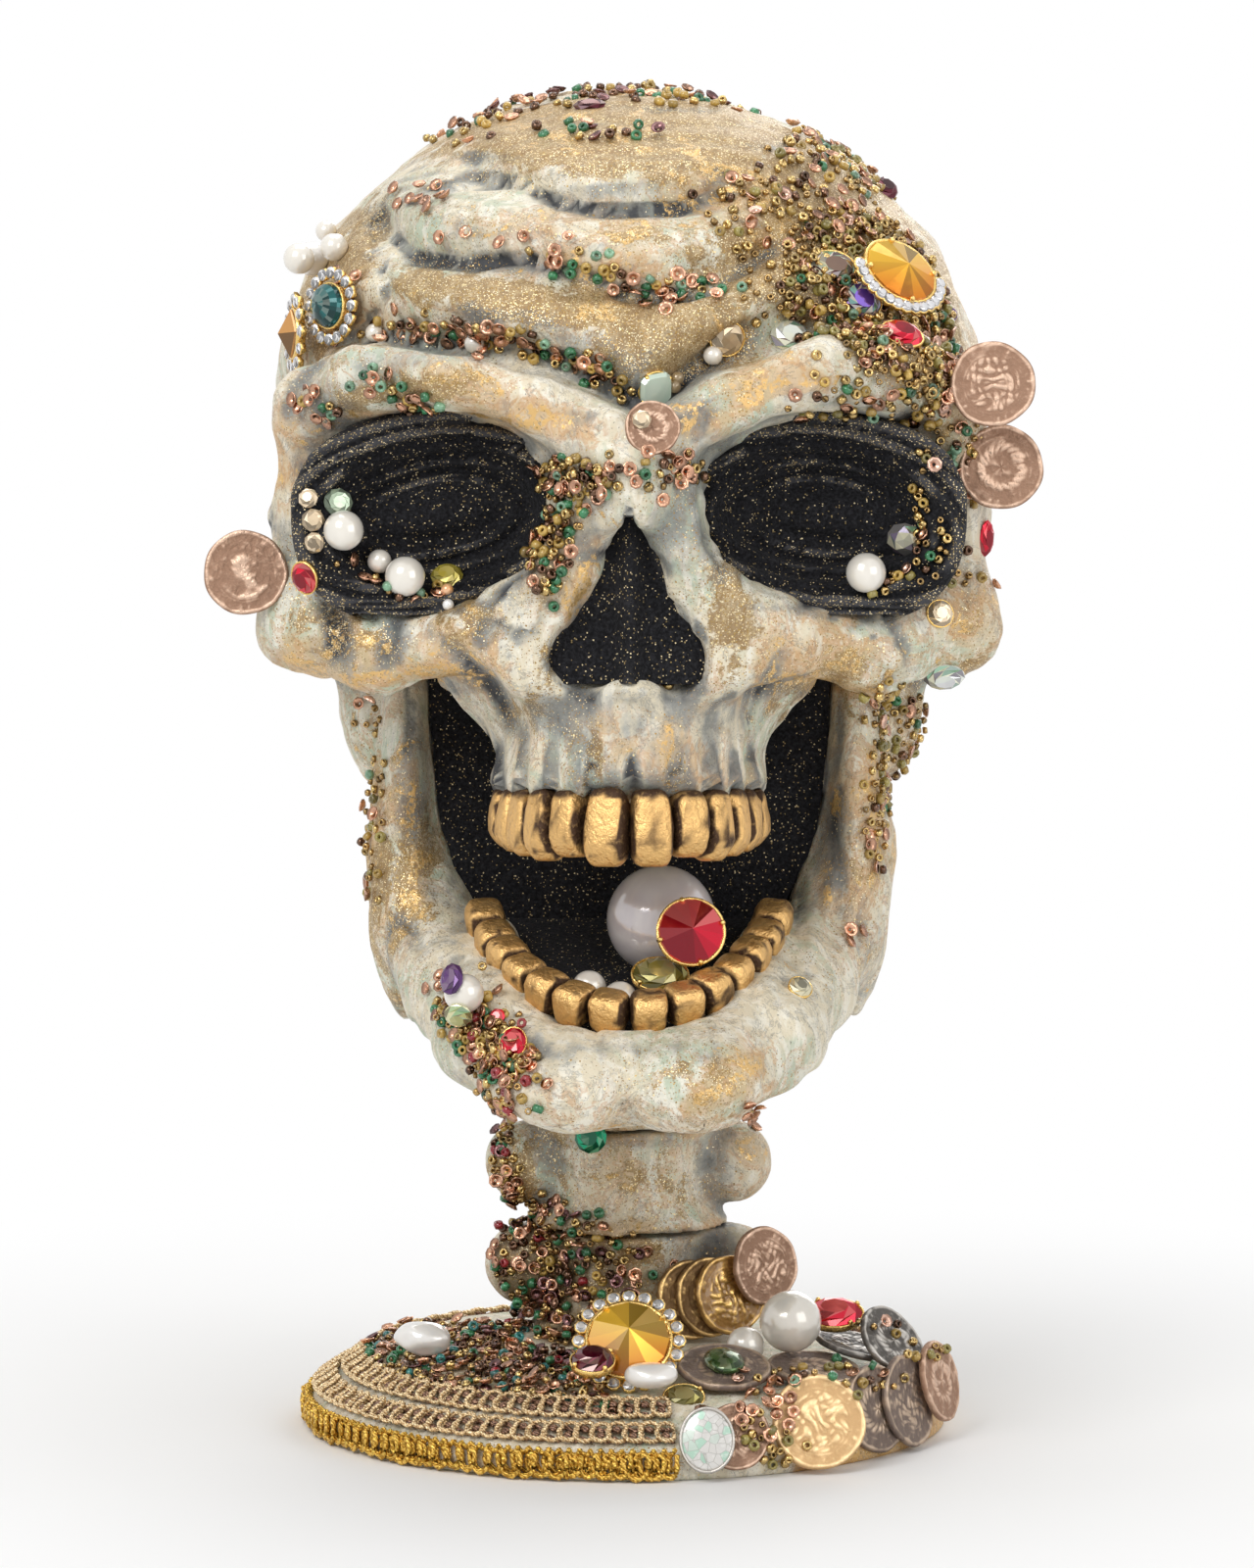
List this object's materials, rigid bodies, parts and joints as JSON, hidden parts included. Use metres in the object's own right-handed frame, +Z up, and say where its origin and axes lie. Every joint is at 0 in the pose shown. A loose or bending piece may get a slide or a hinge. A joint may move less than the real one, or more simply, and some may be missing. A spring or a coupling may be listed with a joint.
{
  "type": "decorative skull",
  "caption": "Open-mouthed ornamental skull on a stacked-vertebra neck and round base, encrusted with beads, coins, pearls, cut stones and braid trim.",
  "frame": {"origin": "middle of the base underside, on the table", "axes": "+Z up, the face looks along -Y, +X is to the right of a person who faces the skull"},
  "size_m": [0.1668, 0.1867, 0.2777],
  "materials": {
    "painted_resin": "weathered off-white paint with gold and verdigris rubbed in",
    "black_flock": "black flock with sparse gold glitter",
    "gold_teeth": "antique gold paint",
    "steel": "plain steel rod",
    "bead_crust": "bronze and gold seed beads and cup sequins",
    "braid": "pale gold chain-loop braid",
    "gold_cord": "bright gold looped metallic thread",
    "gold_coin": "worn gold-coloured pressed metal",
    "silver_coin": "tarnished silver-coloured pressed metal",
    "dark_coin": "dark patinated pressed metal",
    "copper_coin": "rose-copper pressed metal",
    "pearl": "pearl coating",
    "amber_stone": "faceted amber glass in a metal setting",
    "red_stone": "faceted red glass in a metal setting",
    "green_stone": "faceted green glass in a metal setting",
    "shell": "shell mosaic in a silver rim"
  },
  "bodies": {
    "root": {"baroque_pearl": "pearl", "base_amber_jewel": "amber_stone", "base_bead_crust": "bead_crust", "base_pearl": "pearl", "base_plinth": "painted_resin", "braid_lower": "braid", "braid_upper": "braid", "brow_coin": "copper_coin", "cabochon_coin": "dark_coin", "cheek_coin": "copper_coin", "chip_pearl": "pearl", "cranium": "painted_resin", "eye_liner_left": "black_flock", "eye_liner_right": "black_flock", "front_gold_coin": "gold_coin", "garnet_stone": "red_stone", "gold_fringe": "gold_cord", "jaw_bead_crust": "bead_crust", "jaw_pearl": "pearl", "leaning_silver_coin": "silver_coin", "left_eye_pearl_inner": "pearl", "left_eye_pearl_outer": "pearl", "lower_teeth": "gold_teeth", "lying_brown_coin": "dark_coin", "lying_silver_coin": "silver_coin", "mandible": "painted_resin", "mouth_liner": "black_flock", "mouth_pearl": "pearl", "mouth_ruby": "red_stone", "mouth_seed_pearl_left": "pearl", "mouth_seed_pearl_right": "pearl", "neck_bead_crust": "bead_crust", "neck_emerald": "green_stone", "neck_rod": "steel", "nose_liner": "black_flock", "nose_root_bead_crust": "bead_crust", "red_stone": "red_stone", "right_eye_pearl": "pearl", "rim_copper_coin": "copper_coin", "rim_dark_coin": "dark_coin", "shell_pendant": "shell", "small_base_pearl": "pearl", "stack_coin_back": "gold_coin", "stack_coin_front": "gold_coin", "stack_coin_middle": "gold_coin", "temple_amber_jewel": "amber_stone", "temple_bead_crust": "bead_crust", "temple_coin_lower": "copper_coin", "temple_coin_upper": "copper_coin", "temple_honey_jewel": "amber_stone", "temple_pearl": "pearl", "temple_teal_jewel": "green_stone", "upper_teeth": "gold_teeth", "vertebra_1": "painted_resin", "vertebra_2": "painted_resin", "vertebra_3": "painted_resin", "vertebra_4": "painted_resin", "vertebra_5": "painted_resin", "vertebra_6": "painted_resin", "wing_coin": "copper_coin"}
  },
  "joints": []
}
